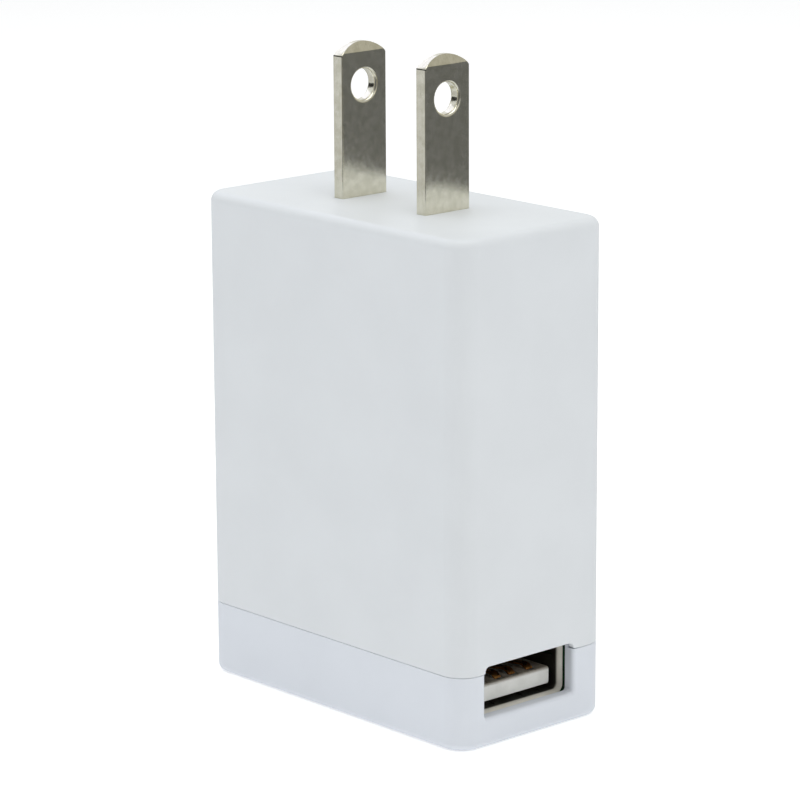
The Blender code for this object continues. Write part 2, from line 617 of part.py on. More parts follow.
def make_transformer(board, core_finish, bobbin_finish, winding_finish):
    """Two E cores that meet round a bobbin, whose rails stand on the board; the axis is along Z."""
    x, z = TRANSFORMER_PLACE
    place = (x, -TRANSFORMER_RISE, z)
    for name, side in (("transformer_core_upper", 1), ("transformer_core_lower", -1)):
        half_x, middle, inside = CORE_X / 2, CORE_MIDDLE_LEG / 2, CORE_X / 2 - CORE_SIDE_LEG
        back, face = side * CORE_HALF_Z, side * CORE_AIR_GAP / 2
        step = side * (CORE_HALF_Z - CORE_BACK)
        e_shape = [
            (-half_x, back),
            (half_x, back),
            (half_x, face),
            (inside, face),
            (inside, step),
            (middle, step),
            (middle, face),
            (-middle, face),
            (-middle, step),
            (-inside, step),
            (-inside, face),
            (-half_x, face),
        ]
        core = prism(name, "Y", e_shape, -CORE_Y / 2, CORE_Y / 2)
        add_piece(name, core, core_finish, board, place)
    window = CORE_HALF_Z - CORE_BACK
    bore_x, bore_y = CORE_MIDDLE_LEG / 2 + 0.2, CORE_Y / 2 + 0.2
    tube_x, tube_y = bore_x + 0.65, bore_y + 0.65
    flange_x, flange_y = CORE_X / 2 - CORE_SIDE_LEG - 0.2, 5.9
    flange_top, flange_low = window - 0.2, window - 1.0
    tube_outline = rectangle((-tube_x, -tube_y), (tube_x, tube_y))
    tube = prism("transformer_bobbin", "Z", tube_outline, -flange_top, flange_top)
    bobbin = add_piece("transformer_bobbin", tube, bobbin_finish, board, place)
    for side in (-1, 1):
        ends = sorted((side * flange_low, side * flange_top))
        flange = rectangle((-flange_x, -flange_y), (flange_x, flange_y))
        join(bobbin, prism("flange", "Z", flange, ends[0], ends[1]))
        rail_ends = sorted((side * flange_low, side * (CORE_HALF_Z + 0.2)))
        rail_low = (-CORE_X / 2, CORE_Y / 2 + 0.9, rail_ends[0])
        join(bobbin, box("rail", rail_low, (CORE_X / 2, TRANSFORMER_RISE - STANDOFF, rail_ends[1])))
    bore = rectangle((-bore_x, -bore_y), (bore_x, bore_y))
    cut(bobbin, prism("bobbin_bore", "Z", bore, -CORE_HALF_Z, CORE_HALF_Z))
    for pin in transformer_pins():
        middle = (pin[0] - x, pin[1] - z)
        pin_profile = [(0.28, TRANSFORMER_RISE - 1.5), (0.28, TRANSFORMER_RISE + LEAD_END)]
        join(bobbin, turned("pin", "Y", pin_profile, middle, 8))
    coil_end = flange_low - FIT
    outer = rounded_rectangle(2 * flange_x - 0.3, 2 * flange_y - 1.2, 1.6, 4)
    coil = prism("transformer_winding", "Z", outer, -coil_end, coil_end)
    winding = add_piece("transformer_winding", coil, winding_finish, board, place)
    hollow = rectangle((-tube_x - FIT, -tube_y - FIT), (tube_x + FIT, tube_y + FIT))
    cut(winding, prism("winding_bore", "Z", hollow, -coil_end - 1.0, coil_end + 1.0))


def make_components(board):
    sleeve = material("capacitor_sleeve", (0.03, 0.03, 0.05), 0.45)
    for index, place in enumerate(INPUT_CAPACITOR_PLACES):
        make_can(f"input_capacitor_{index + 1}", board, sleeve, place, 4.0, 12.0, CAN_LEAD)
    make_can("output_capacitor", board, sleeve, OUTPUT_CAPACITOR_PLACE, 4.0, 12.0, CAN_LEAD)
    ferrite = material("choke_ferrite", (0.05, 0.05, 0.055), 0.6)
    make_can("input_choke", board, ferrite, CHOKE_PLACE, 3.2, 8.0, CHOKE_LEAD)
    moulding = material("package_moulding", (0.02, 0.02, 0.022), 0.55)
    coat = material("resistor_coat", (0.2, 0.32, 0.2), 0.6)
    lacquer = material("film_resistor", (0.45, 0.35, 0.22), 0.5)
    make_axial("fusible_resistor", board, coat, FUSE_PLACE, 1.5, 7.0, FUSE_LEAD)
    make_axial("output_diode", board, moulding, DIODE_PLACE, 1.35, 5.2, DIODE_LEAD)
    make_axial("load_resistor", board, lacquer, LOAD_PLACE, 0.9, 3.4, LOAD_LEAD)
    make_block("bridge_rectifier", board, moulding, BRIDGE_PLACE, (4.0, 2.4, 4.7), 2, 1.1)
    make_block("controller_ic", board, moulding, CONTROLLER_PLACE, (3.9, 1.5, 4.9), 4, 1.1)
    make_block("optocoupler", board, moulding, OPTOCOUPLER_PLACE, (4.6, 3.4, 6.4), 2, 1.2)
    make_y_capacitor(board, material("disc_ceramic", (0.07, 0.2, 0.5), 0.35))
    core = material("core_ferrite", (0.06, 0.06, 0.065), 0.5)
    bobbin = material("bobbin_phenolic", (0.08, 0.06, 0.05), 0.5)
    make_transformer(board, core, bobbin, material("winding_tape", (0.75, 0.55, 0.08), 0.4))


def main():
    clear_scene()
    charger = bpy.data.objects.new("usb_wall_charger", None)
    bpy.context.scene.collection.objects.link(charger)
    case = material("white_case", (0.8, 0.82, 0.85), 0.35)
    nickel = material("blade_nickel", (0.66, 0.64, 0.58), 0.22, 1.0)
    make_housing(charger, case)
    make_end_cap(charger, case)
    make_blade("blade_left", -1, charger, nickel)
    make_blade("blade_right", 1, charger, nickel)
    make_retainer(charger, material("retainer_plastic", (0.6, 0.6, 0.58), 0.5))
    make_lead("lead_live", -1, charger, material("lead_black", (0.02, 0.02, 0.02), 0.45))
    make_lead("lead_neutral", 1, charger, material("lead_white", (0.75, 0.75, 0.73), 0.45))
    make_shell(charger, material("shell_steel", (0.62, 0.6, 0.55), 0.3, 1.0))
    make_insulator(charger, material("tongue_plastic", (0.78, 0.76, 0.7), 0.5))
    contact = material("contact_gold", (0.85, 0.55, 0.2), 0.3, 1.0)
    for index in range(len(CONTACT_OFFSETS)):
        make_contact(index, charger, contact)
    board = make_board(charger, material("board_laminate", (0.05, 0.22, 0.08), 0.5))
    make_components(board)
    sheet = box("insulation_sheet", (-16.5, INNER_Y - 0.35, 2.6), (16.5, INNER_Y - 0.15, 43.0))
    add_piece("insulation_sheet", sheet, material("sheet_paper", (0.35, 0.33, 0.28), 0.8), charger)
    for piece in bpy.context.scene.objects:
        if piece.modifiers:
            even_shading(piece)


main()
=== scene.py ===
import json
import math

import bmesh
import bpy
from mathutils import Matrix, Vector


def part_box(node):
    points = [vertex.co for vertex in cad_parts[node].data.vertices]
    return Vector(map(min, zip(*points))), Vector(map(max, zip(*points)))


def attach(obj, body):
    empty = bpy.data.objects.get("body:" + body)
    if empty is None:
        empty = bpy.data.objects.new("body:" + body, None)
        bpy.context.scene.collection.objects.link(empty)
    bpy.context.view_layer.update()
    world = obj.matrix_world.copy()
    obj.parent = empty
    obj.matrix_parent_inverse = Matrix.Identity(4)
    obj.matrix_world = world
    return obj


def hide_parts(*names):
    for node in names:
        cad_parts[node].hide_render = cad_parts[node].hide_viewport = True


# Looks of the USB wall charger. Lengths here are in millimetres, and MM turns them into metres
# where a mesh is made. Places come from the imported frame's boxes; the constants below are the
# radii, fits and small details that a box doesn't hold.

MM = 0.001

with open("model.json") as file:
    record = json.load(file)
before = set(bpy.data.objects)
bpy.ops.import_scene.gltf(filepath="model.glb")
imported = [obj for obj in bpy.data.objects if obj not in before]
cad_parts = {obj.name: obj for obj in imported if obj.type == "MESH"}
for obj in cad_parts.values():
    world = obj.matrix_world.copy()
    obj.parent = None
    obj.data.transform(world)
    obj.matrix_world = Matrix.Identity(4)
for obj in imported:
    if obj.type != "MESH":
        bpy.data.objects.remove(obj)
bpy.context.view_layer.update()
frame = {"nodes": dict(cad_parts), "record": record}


def corners(node):
    """The lowest and highest corner of a CAD node, in millimetres."""
    low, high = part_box(node)
    return low / MM, high / MM


# Case
HOUSING_LOW, HOUSING_HIGH = corners("housing")
CAP_HIGH = corners("end_cap")[1]
HALF_X, HALF_Y, TOP_Z = HOUSING_HIGH
PLAN_RADIUS, TOP_ROUND, BASE_ROUND = 2.6, 1.05, 0.8
WALL, TOP_WALL, FIT, RIB = 1.6, 2.0, 0.15, 0.8
CAD_SEAM_GAP, SEAM_GAP, RIM_ROUND = 0.2, 0.03, 0.07
SEAM_Z = HOUSING_LOW.z - CAD_SEAM_GAP / 2
LIP_INSET = 0.9
CEILING_Z = TOP_Z - TOP_WALL

# How far a cutter or a joined piece reaches past the surface that it meets.
OVERSHOOT = 1.0

# Ribs that hold the board's two upright edges, on the end walls
RIB_OVER_BOARD, RIB_INTO_WALL = 1.1, 0.4
RIB_FOOT_RISE, RIB_HEAD_DROP = 8.0, 0.5

# Socket opening
SHELL_LOW, SHELL_HIGH = corners("usb_shell")
SHELL_SHEET, SHELL_RADIUS = 0.3, 0.6
SHELL_WIDTH, SHELL_HEIGHT = 12.5, 5.12
LEAD_IN_DEPTH, LEAD_IN = 0.5, 0.16
PORT_Y = SHELL_LOW.y + SHELL_SHEET + SHELL_WIDTH / 2
PORT_Z = SHELL_HIGH.z - SHELL_SHEET - SHELL_HEIGHT / 2
SILL_Z, NOTCH_TOP_Z = 3.14, 8.58
# The notch's upper round and the flare below it, across and up, on its +Y and -Y sides.
NOTCH_ROUND = {1: (0.75, 0.49), -1: (0.56, 0.5)}
NOTCH_FLARE = {1: (0.75, 0.2), -1: (0.2, 0.2)}
OPENING_ROUND = 0.35
NOTCH_LIP, OPENING_LIP = 0.12, 0.45
RELIEF_DEPTH, RELIEF_MARGIN = 0.3, 0.95

# Shell: the band at its mouth, painted bright as a painted highlight, and its inside, painted dark as
# painted shade; its spring fingers, as (width, length); and the two legs soldered to the board
MOUTH_EDGE = 0.07
LIT_MOUTH_DEPTH, LIT_MOUTH_FADE = 0.85, 0.3
WIDE_FINGER, SIDE_FINGER = (2.2, 4.6), (1.8, 4.6)
WIDE_FINGER_OFFSET, FINGER_ROOT, FINGER_GAP, FINGER_DEPTH = 3.2, 1.0, 0.2, 0.42
# A finger is deepest at this part of its length, and its tip comes back by this part of its depth.
FINGER_CREST, FINGER_CURL = 0.75, 0.6
LEG_WIDTH, LEG_PLACES = 2.2, ((13.0, 7.8), (7.1, 3.35))

# Blades
BLADES = ("blade_left", "blade_right")
BLADE_WIDTH, BLADE_EDGE = 6.1, 0.1
SHOULDER_RISE, CHAMFER_RISE, TIP_CHAMFER = 14.95, 15.12, 0.42
HOLE_RISE, HOLE_RADIUS, HOLE_LIP = 11.7, 1.63, 0.34
SLOT_GAP, SLOT_LIP = 0.04, 0.1
STEM_WIDTH = 4.4
RETAINER_TOP_Z = corners("blade_retainer")[1].z
RETAINER_LOW_Z = RETAINER_TOP_Z - 2.0
POST_X, POST_RADIUS, POST_HEAD_RADIUS, POST_HEAD_HEIGHT = 13.2, 1.5, 2.4, 0.85
# The shoulder beside the tip's crown, as (in from the blade's edge, up from the crown's foot).
SHOULDER_ROUND = ((0.0, -0.16), (0.01, -0.07), (0.05, 0.01))
CROWN_STEPS = 16

# Socket inside
INSULATOR_LOW, INSULATOR_HIGH = corners("usb_insulator")
BLOCK_FRONT_X, TONGUE_WIDTH, TONGUE_THICKNESS = 7.7, 11.1, 1.84
TONGUE_RISE = 0.66
TONGUE_LOW_Z = PORT_Z - SHELL_HEIGHT / 2 + TONGUE_RISE
TONGUE_TOP_Z = TONGUE_LOW_Z + TONGUE_THICKNESS
TONGUE_NOSE, TONGUE_EDGE = 0.42, 0.22
GROOVE_DEPTH, GROOVE_END = 1.0, 0.35
CONTACT_COUNT, CONTACT_SHEET, CONTACT_EDGE = 4, 0.22, 0.04
CROWN_BACK, CROWN_RADIUS, TIP_TURN = 1.35, 1.2, 38.0
PIN_WIDTH = 0.6

ROUND_STEPS, CORNER_STEPS = 6, 16


# ---------------------------------------------------------------- outlines

def rounded_rectangle(length, width, radius, steps=CORNER_STEPS, middle=(0.0, 0.0)):
    points = []
    for corner, (side_u, side_v) in enumerate(((1, 1), (-1, 1), (-1, -1), (1, -1))):
        centre_u = middle[0] + side_u * (length / 2 - radius)
        centre_v = middle[1] + side_v * (width / 2 - radius)
        for step in range(steps + 1):
            turn = (corner + step / steps) * math.pi / 2
            points.append((centre_u + radius * math.cos(turn), centre_v + radius * math.sin(turn)))
    return points


def rectangle(low, high):
    return [(low[0], low[1]), (high[0], low[1]), (high[0], high[1]), (low[0], high[1])]


def circle(radius, steps=64, middle=(0.0, 0.0)):
    turns = [2 * math.pi * step / steps for step in range(steps)]
    return [(middle[0] + radius * math.cos(a), middle[1] + radius * math.sin(a)) for a in turns]


def drawn_in(outline, amount):
    """The outline moved inwards by the same amount all along, mitred at its corners."""
    area = sum(a[0] * b[1] - b[0] * a[1] for a, b in zip(outline, outline[1:] + outline[:1]))
    inwards = 1 if area > 0 else -1
    moved = []
    for index, point in enumerate(outline):
        here = Vector(point)
        before = (here - Vector(outline[index - 1])).normalized()
        after = (Vector(outline[(index + 1) % len(outline)]) - here).normalized()
        first = Vector((-before.y, before.x)) * inwards
        second = Vector((-after.y, after.x)) * inwards
        mitre = (first + second).normalized()
        moved.append(tuple(here + mitre * (amount / max(0.3, mitre.dot(first)))))
    return moved


def strip_outline(points, width):
    """The outline of a thin strip round a middle line."""
    line = [Vector(point) for point in points]
    left, right = [], []
    for index, point in enumerate(line):
        before = (point - line[index - 1]).normalized() if index else None
        after = (line[index + 1] - point).normalized() if index + 1 < len(line) else None
        mean = ((before or after) + (after or before)).normalized()
        normal = Vector((-mean.y, mean.x))
        left.append(tuple(point + normal * width / 2))
        right.append(tuple(point - normal * width / 2))
    return left + right[::-1]


# ---------------------------------------------------------------- meshes

def in_space(axis, u, v, along):
    """A point of a section: along X a section lies in YZ, along Y in XZ, along Z in XY."""
    return {"X": (along, u, v), "Y": (u, along, v), "Z": (u, v, along)}[axis]


def loft(name, axis, sections):
    """A closed mesh through (position along the axis, outline) sections, capped at both ends."""
    bm = bmesh.new()
    loops = []
    for along, outline in sections:
        loops.append([bm.verts.new(Vector(in_space(axis, u, v, along)) * MM) for u, v in outline])
    for lower, upper in zip(loops, loops[1:]):
        for index in range(len(lower)):
            after = (index + 1) % len(lower)
            bm.faces.new((lower[index], lower[after], upper[after], upper[index]))
    bm.faces.new(loops[0][::-1])
    bm.faces.new(loops[-1])
    bmesh.ops.recalc_face_normals(bm, faces=bm.faces)
    mesh = bpy.data.meshes.new(name)
    bm.to_mesh(mesh)
    bm.free()
    return mesh


def prism(name, axis, outline, low, high):
    return loft(name, axis, [(low, outline), (high, outline)])


def box(name, low, high):
    return prism(name, "Z", rectangle(low, high), low[2], high[2])


def quarter_turns(steps=ROUND_STEPS):
    return [math.pi / 2 * step / steps for step in range(steps + 1)]


def rounded_edge(outline_at, face, radius, side, steps=ROUND_STEPS):
    """Sections of a convex round where a side wall meets an end face, from wall to face."""
    return [
        (face - side * radius * (1 - math.sin(a)), outline_at(radius * (1 - math.cos(a))))
        for a in quarter_turns(steps)
    ]


def flared_end(outline_at, face, radius, side=1):
    """Sections of a cutter's end, which widens so that the rim of its opening comes out round."""
    end = [(face + side * OVERSHOOT, outline_at(radius))]
    return rounded_edge(outline_at, face, radius, side) + end


def rounded_prism(name, axis, outline, low, high, radius):
    """A prism whose edges at both ends are rounded."""
    def section(inset):
        return drawn_in(outline, inset) if inset > 0 else outline
    sections = rounded_edge(section, low, radius, -1, 4)[::-1] + rounded_edge(section, high, radius, 1, 4)
    return loft(name, axis, sections)


def placed(name, mesh):
    piece = bpy.data.objects.new(name, mesh)
    bpy.context.scene.collection.objects.link(piece)
    return piece


def evaluated(piece):
    """A mesh of the piece with its modifiers applied."""
    bpy.context.view_layer.update()
    depsgraph = bpy.context.evaluated_depsgraph_get()
    return bpy.data.meshes.new_from_object(piece.evaluated_get(depsgraph))


def smooth(mesh, angle=32.0):
    mesh.shade_smooth()
    mesh.set_sharp_from_angle(angle=math.radians(angle))


def even_shading(piece):
    """Large flat faces set the shading beside the narrow ones along cuts and edges."""
    modifier = piece.modifiers.new("even_shading", "WEIGHTED_NORMAL")
    modifier.mode = "FACE_AREA_WITH_ANGLE"
    modifier.keep_sharp = True


def carved(name, mesh, joins=(), cuts=()):
    """A new piece from a mesh, with the joins added and then the cuts taken away."""
    piece = placed(name, mesh)
    helpers = []
    for operation, meshes in (("UNION", joins), ("DIFFERENCE", cuts)):
        for other in meshes:
            helper = placed(other.name, other)
            modifier = piece.modifiers.new(other.name, "BOOLEAN")
            modifier.operation = operation
            modifier.object = helper
            helpers.append(helper)
    result = evaluated(piece)
    piece.modifiers.clear()
    piece.data = result
    result.name = name
    for helper in helpers:
        bpy.data.objects.remove(helper, do_unlink=True)
    smooth(result)
    even_shading(piece)
    return piece


def stand_in_for(piece, node, body, finish):
    """The piece takes a CAD node's place, body and finish."""
    piece.data.materials.clear()
    piece.data.materials.append(finish)
    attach(piece, body)
    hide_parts(node)


# ---------------------------------------------------------------- case

def plan(inset):
    """The case's outline seen from above, drawn in by a wall or a round."""
    return rounded_rectangle(2 * (HALF_X - inset), 2 * (HALF_Y - inset), PLAN_RADIUS - inset)


def notch_outline(growth):
    """The arch over the socket: round upper corners, and lower ones that flare into the seam."""
    half, rim_z = SHELL_WIDTH / 2, SEAM_Z + SEAM_GAP / 2
    points = []
    for side in (1, -1):
        wall_y = PORT_Y + side * half
        (round_y, round_z), (flare_y, flare_z) = NOTCH_ROUND[side], NOTCH_FLARE[side]
        corner = (wall_y - side * round_y, NOTCH_TOP_Z - round_z)
        flare = (wall_y + side * flare_y, rim_z + flare_z)
        reach_y, reach_z = side * (round_y + growth), round_z + growth
        run = [
            (corner[0] + reach_y * math.sin(a), corner[1] + reach_z * math.cos(a))
            for a in quarter_turns(8)
        ]
        reach_y, reach_z = side * (flare_y - growth), flare_z - growth
        run += [
            (flare[0] - reach_y * math.cos(a), flare[1] - reach_z * math.sin(a))
            for a in quarter_turns(8)
        ]
        run.append((flare[0], rim_z - 2.0))
        points += run if side > 0 else run[::-1]
    return points


def opening_outline(growth):
    """The socket's opening in the cap: open towards the seam, with soft lower corners."""
    half, high_z = SHELL_WIDTH / 2 + growth, CAP_HIGH.z + 2.0
    radius = OPENING_ROUND + growth
    points = []
    for side in (1, -1):
        centre = (PORT_Y + side * (half - radius), SILL_Z - growth + radius)
        run = [(PORT_Y + side * half, high_z)]
        run += [
            (centre[0] + side * radius * math.cos(a), centre[1] - radius * math.sin(a))
            for a in quarter_turns()
        ]
        points += run if side > 0 else run[::-1]
    return points


def through_end_wall(name, outline_at, lip):
    """A cutter that passes through the +X wall, with a softened rim outside."""
    start = [(HALF_X - WALL - OVERSHOOT, outline_at(0.0))]
    return loft(name, "X", start + flared_end(outline_at, HALF_X, lip))


def blade_slot(blade):
    """The cutter of the slot that a blade passes through, with a softened rim."""
    low, high = corners(blade)
    length = high.x - low.x + 2 * SLOT_GAP
    width = BLADE_WIDTH + 2 * SLOT_GAP

    def outline(growth):
        return rounded_rectangle(
            length + 2 * growth, width + 2 * growth, SLOT_GAP + growth, 4, ((low.x + high.x) / 2, 0.0)
        )
    start = [(CEILING_Z - OVERSHOOT, outline(0.0))]
    return loft("slot", "Z", start + flared_end(outline, TOP_Z, SLOT_LIP))


def retainer_post(side):
    """A post under the top wall, with its end formed over the blade retainer."""
    head_z = RETAINER_LOW_Z - FIT
    profile = [
        (POST_HEAD_RADIUS * 0.7, head_z - POST_HEAD_HEIGHT),
        (POST_HEAD_RADIUS, head_z - POST_HEAD_HEIGHT / 2),
        (POST_HEAD_RADIUS, head_z),
        (POST_RADIUS, head_z),
        (POST_RADIUS, CEILING_Z + 0.5),
    ]
    middle = (side * POST_X, 0.0)
    return loft("post", "Z", [(z, circle(radius, 40, middle)) for radius, z in profile])


def board_ribs(side):
    """The two ribs on an end wall that the circuit board slides between."""
    board_low, board_high = corners("main_board")
    near, far = sorted((side * (board_high.x - RIB_OVER_BOARD), side * (HALF_X - WALL + RIB_INTO_WALL)))
    ribs = []
    for low_y in (board_low.y - FIT - RIB, board_high.y + FIT):
        low = (near, low_y, board_low.z + RIB_FOOT_RISE)
        ribs.append(box("rib", low, (far, low_y + RIB, board_high.z - RIB_HEAD_DROP)))
    return ribs


def make_housing(finish):
    rim_z = SEAM_Z + SEAM_GAP / 2
    sections = rounded_edge(plan, rim_z, RIM_ROUND, -1)[::-1] + rounded_edge(plan, TOP_Z, TOP_ROUND, 1, 12)
    joins = []
    for side in (-1, 1):
        joins.append(retainer_post(side))
        joins += board_ribs(side)
    cavity = prism("cavity", "Z", plan(WALL), 0.0, CEILING_Z)
    rebate = prism("rebate", "Z", plan(LIP_INSET - FIT), 0.0, CAP_HIGH.z + FIT)
    notch = through_end_wall("notch", notch_outline, NOTCH_LIP)
    shell = carved("case_shell", loft("case", "Z", sections), (), [cavity, rebate])
    cuts = [notch] + [blade_slot(blade) for blade in BLADES]
    housing = carved("case_housing", shell.data, joins, cuts)
    bpy.data.objects.remove(shell, do_unlink=True)
    stand_in_for(housing, "housing", "charger", finish)


def make_cap(finish):
    rim_z = SEAM_Z - SEAM_GAP / 2
    sections = rounded_edge(plan, 0.0, BASE_ROUND, -1, 10)[::-1] + rounded_edge(plan, rim_z, RIM_ROUND, 1)
    lip = prism("lip", "Z", plan(LIP_INSET), rim_z - OVERSHOOT, CAP_HIGH.z)
    cavity = prism("cavity", "Z", plan(WALL), WALL, TOP_Z)
    opening = through_end_wall("opening", opening_outline, OPENING_LIP)
    half_relief = SHELL_WIDTH / 2 + RELIEF_MARGIN
    relief_low = (HALF_X - WALL - OVERSHOOT, PORT_Y - half_relief, SILL_Z - RELIEF_MARGIN)
    relief_high = (HALF_X - WALL + RELIEF_DEPTH, PORT_Y + half_relief, TOP_Z)
    relief = box("relief", relief_low, relief_high)
    cap = carved("case_cap", loft("cap", "Z", sections), [lip], [cavity, opening, relief])
    stand_in_for(cap, "end_cap", "charger", finish)


# ---------------------------------------------------------------- blades

def blade_outline(low_z):
    """A blade's side view in YZ: stem, retained head, shank and crowned tip."""
    half, tip_z = BLADE_WIDTH / 2, corners("blade_left")[1].z
    rise = tip_z - TOP_Z - SHOULDER_RISE
    crown_radius = (half**2 + rise**2) / (2 * rise)
    reach = math.asin(half / crown_radius)
    head_half = corners("blade_left")[1].y
    head_top, head_low = CEILING_Z - FIT, RETAINER_TOP_Z + FIT
    right = [
        (STEM_WIDTH / 2, low_z),
        (STEM_WIDTH / 2, head_low),
        (head_half, head_low),
        (head_half, head_top),
        (half, head_top),
    ]
    crown = []
    for step in range(1, 2 * CROWN_STEPS):
        turn = reach * (1 - step / CROWN_STEPS)
        crown.append((crown_radius * math.sin(turn), tip_z - crown_radius * (1 - math.cos(turn))))
    shoulder = [(half - inwards, tip_z - rise + up) for inwards, up in SHOULDER_ROUND]
    crown = shoulder + crown + [(-y, z) for y, z in shoulder[::-1]]
    return right + crown + [(-y, z) for y, z in right[::-1]]


def make_blade(node, finish):
    low, high = corners(node)
    middle, half = (low.x + high.x) / 2, (high.x - low.x) / 2
    body = rounded_prism("blade", "X", blade_outline(low.z), low.x, high.x, BLADE_EDGE)
    hole_z, chamfer_z = TOP_Z + HOLE_RISE, TOP_Z + CHAMFER_RISE

    def hole(growth):
        return circle(HOLE_RADIUS + growth, 64, (0.0, hole_z))
    bore = flared_end(hole, low.x, HOLE_LIP, -1)[::-1] + flared_end(hole, high.x, HOLE_LIP)
    cuts = [loft("bore", "X", bore)]
    above = high.z + OVERSHOOT
    slope = TIP_CHAMFER / (high.z - chamfer_z)
    for face in (-1, 1):
        wedge = [
            (middle + face * half, chamfer_z),
            (middle + face * (half + OVERSHOOT), chamfer_z),
            (middle + face * (half + OVERSHOOT), above),
            (middle + face * (half - slope * (above - chamfer_z)), above),
        ]
        cuts.append(prism("wedge", "Y", wedge, -BLADE_WIDTH, BLADE_WIDTH))
    blade = carved(node.replace("blade", "mains_blade"), body, (), cuts)
    stand_in_for(blade, node, "charger", finish)


# ---------------------------------------------------------------- socket

def finger_window(axis, middle, wall, size):
    """The cutter of the opening in the shell's wall that a spring finger is bent from."""
    width, length = size
    front, half = SHELL_HIGH.x - FINGER_ROOT - SHELL_SHEET, width / 2 + FINGER_GAP
    outline = rectangle((front - length, middle - half), (front, middle + half))
    return prism("window", axis, outline, wall - 0.5, wall + 0.5)


def spring_finger(axis, middle, wall, inwards, size):
    """A spring finger: rooted near the mouth, bent into the shell and curled back at its tip."""
    width, length = size
    front = SHELL_HIGH.x - FINGER_ROOT
    line = []
    for step in range(17):
        s = step / 16
        dip = math.sin(min(1.0, s / FINGER_CREST) * math.pi / 2) ** 2
        curl = max(0.0, (s - FINGER_CREST) / (1.0 - FINGER_CREST)) ** 2
        bend = dip - FINGER_CURL * curl
        line.append((front - s * (length + 0.1), wall + inwards * FINGER_DEPTH * bend))
    outline = strip_outline(line, SHELL_SHEET * 0.9)
    return prism("finger", axis, outline, middle - width / 2, middle + width / 2)


def shell_section(growth):
    """The shell's inner outline in YZ, grown outwards by this much."""
    width, height = SHELL_WIDTH + 2 * growth, SHELL_HEIGHT + 2 * growth
    return rounded_rectangle(width, height, SHELL_RADIUS + growth, 10, (PORT_Y, PORT_Z))


def shell_bore():
    """The cutter of the shell's inside, which widens over its last part as a lead-in for the plug."""
    def inner(growth):
        return shell_section(LEAD_IN + growth)
    mouth_x = SHELL_HIGH.x
    sections = [(SHELL_LOW.x - OVERSHOOT, shell_section(0.0))]
    for step in range(5):
        part = step / 5
        depth = MOUTH_EDGE + LEAD_IN_DEPTH * (1 - part)
        sections.append((mouth_x - depth, shell_section(LEAD_IN * part**1.4)))
    return loft("bore", "X", sections + flared_end(inner, mouth_x, MOUTH_EDGE))


def make_shell(finish):
    def outer(inset):
        return shell_section(SHELL_SHEET - inset)
    mouth = rounded_edge(outer, SHELL_HIGH.x, MOUTH_EDGE, 1, 4)
    tube = loft("tube", "X", [(SHELL_LOW.x, outer(0.0))] + mouth)
    bore = shell_bore()
    half_y, half_z = (SHELL_WIDTH + SHELL_SHEET) / 2, (SHELL_HEIGHT + SHELL_SHEET) / 2
    windows, fingers = [], []
    for side in (-1, 1):
        wall_z, wall_y = PORT_Z + side * half_z, PORT_Y + side * half_y
        for offset in (-WIDE_FINGER_OFFSET, WIDE_FINGER_OFFSET):
            windows.append(finger_window("Z", PORT_Y + offset, wall_z, WIDE_FINGER))
            fingers.append(spring_finger("Y", PORT_Y + offset, wall_z, -side, WIDE_FINGER))
        windows.append(finger_window("Y", PORT_Z, wall_y, SIDE_FINGER))
        fingers.append(spring_finger("Z", PORT_Z, wall_y, -side, SIDE_FINGER))
    legs = []
    for x, z in LEG_PLACES:
        low = (x - LEG_WIDTH / 2, PORT_Y + half_y, z - SHELL_SHEET / 2)
        high = (x + LEG_WIDTH / 2, SHELL_HIGH.y, z + SHELL_SHEET / 2)
        legs.append(box("leg", low, high))
    hollow = carved("hollow", tube, legs, [bore] + windows)
    shell = carved("socket_shell", hollow.data, fingers, ())
    bpy.data.objects.remove(hollow, do_unlink=True)
    stand_in_for(shell, "usb_shell", "charger", finish)


def contact_y(index):
    low, high = corners(f"contact_spring_{index}")
    return (low.y + high.y) / 2


def make_insulator(finish):
    width, height = SHELL_WIDTH - 2 * FIT, SHELL_HEIGHT - 2 * FIT
    block_outline = rounded_rectangle(width, height, SHELL_RADIUS, 8, (PORT_Y, PORT_Z))
    block = rounded_prism("block", "X", block_outline, INSULATOR_LOW.x, BLOCK_FRONT_X, 0.1)
    tip, root = INSULATOR_HIGH.x, BLOCK_FRONT_X - 0.5
    middle_z = (TONGUE_LOW_Z + TONGUE_TOP_Z) / 2

    def tongue_section(inset):
        """The tongue's nose is rounder above than below."""
        width, height = TONGUE_WIDTH - 1.4 * inset, TONGUE_THICKNESS - 1.25 * inset
        return rounded_rectangle(width, height, TONGUE_EDGE, 5, (PORT_Y, middle_z - 0.375 * inset))
    nose = rounded_edge(tongue_section, tip, TONGUE_NOSE, 1, 8)
    tongue = loft("tongue", "X", [(root, tongue_section(0.0))] + nose)
    cuts = []
    for index in range(1, CONTACT_COUNT + 1):
        low, high = corners(f"contact_spring_{index}")
        half_groove = (high.y - low.y) / 2 + FIT
        y = contact_y(index)
        groove_low = (BLOCK_FRONT_X, y - half_groove, TONGUE_TOP_Z - GROOVE_DEPTH)
        cuts.append(box("groove", groove_low, (tip - GROOVE_END, y + half_groove, PORT_Z + OVERSHOOT)))
        tail_low, tail_high = corners(f"contact_tail_{index}")
        half_tunnel = PIN_WIDTH / 2 + FIT
        tunnel_low = (INSULATOR_LOW.x - OVERSHOOT, y - half_tunnel, tail_low.z - FIT)
        tunnel_high = (BLOCK_FRONT_X + 0.1, y + half_tunnel, tail_high.z + FIT)
        cuts.append(box("tunnel", tunnel_low, tunnel_high))
    insulator = carved("socket_tongue", block, [tongue], cuts)
    stand_in_for(insulator, "usb_insulator", "charger", finish)


